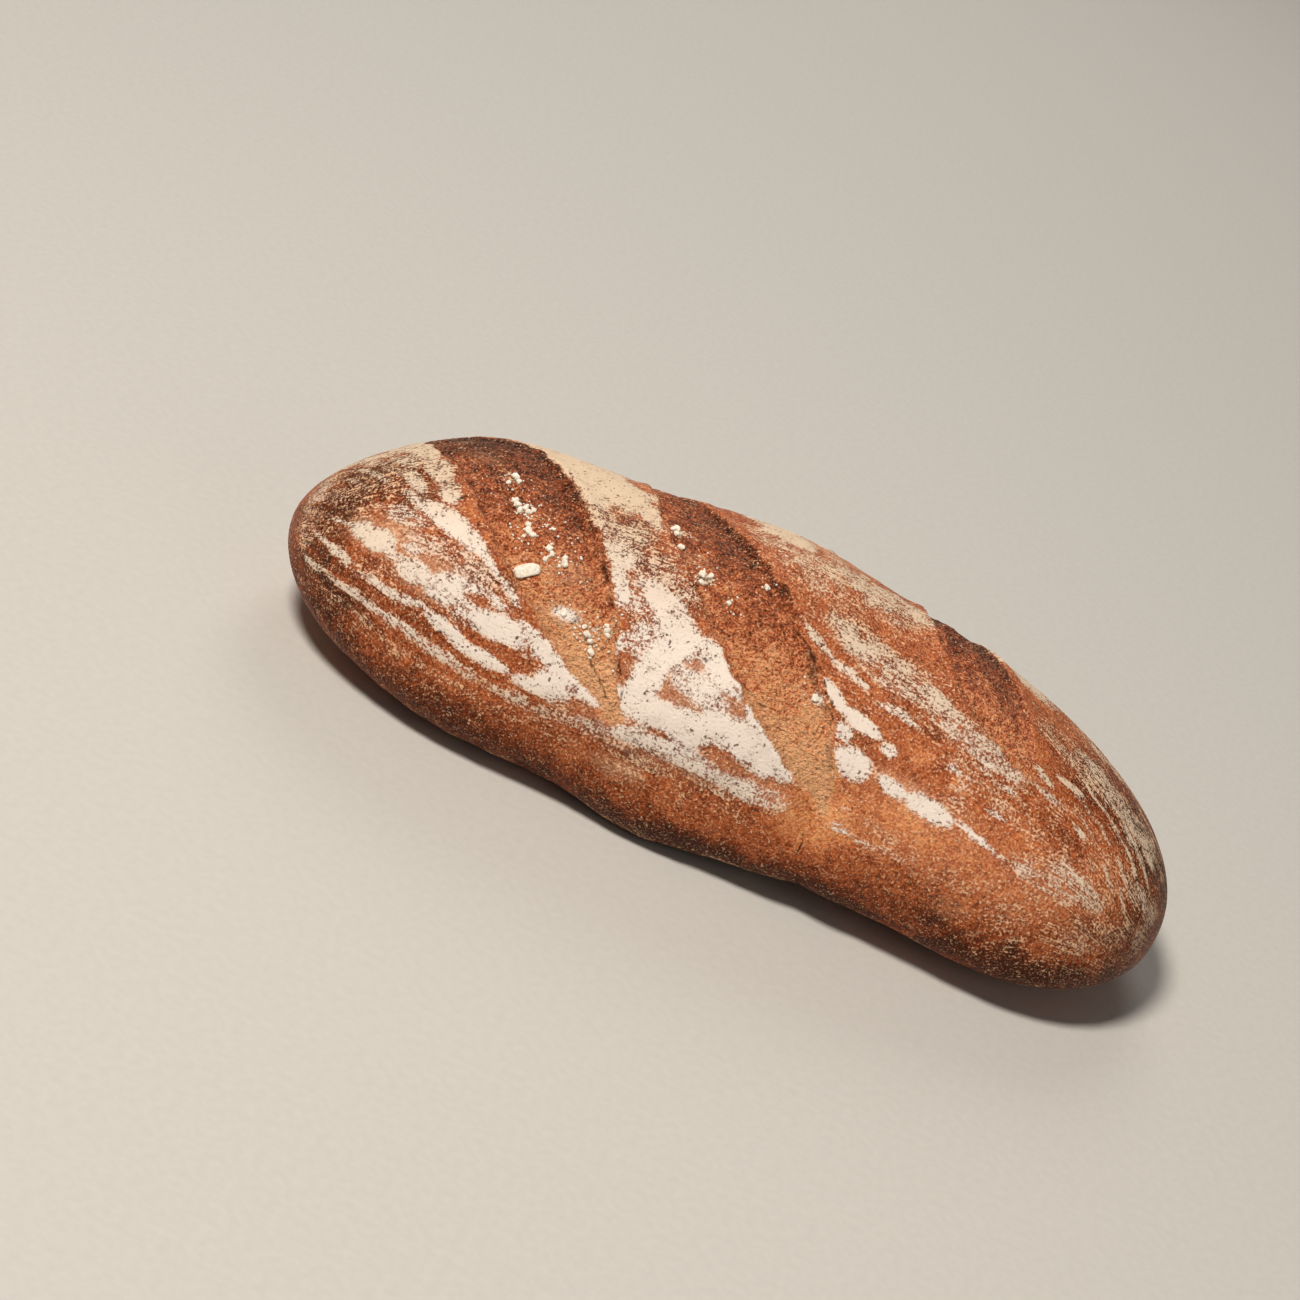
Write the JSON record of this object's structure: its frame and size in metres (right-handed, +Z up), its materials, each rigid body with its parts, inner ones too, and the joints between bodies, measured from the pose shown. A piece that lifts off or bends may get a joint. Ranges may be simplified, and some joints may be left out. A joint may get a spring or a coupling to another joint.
{
  "type": "bloomer loaf",
  "caption": "Long hand-shaped loaf of bread with rounded ends, a flat base, diagonal slashes across the top and a floured brown crust.",
  "frame": {"origin": "on the flat base, below the middle of the loaf", "axes": "+X along the loaf to the end without a slash, +Y across it to the side where the slashes only just reach, +Z up"},
  "size_m": [0.33, 0.1372, 0.093],
  "materials": {
    "crust": "satin baked crust, dusted with flour",
    "flour": "dry matt flour"
  },
  "bodies": {
    "root": {"loaf": "crust"}
  },
  "joints": []
}
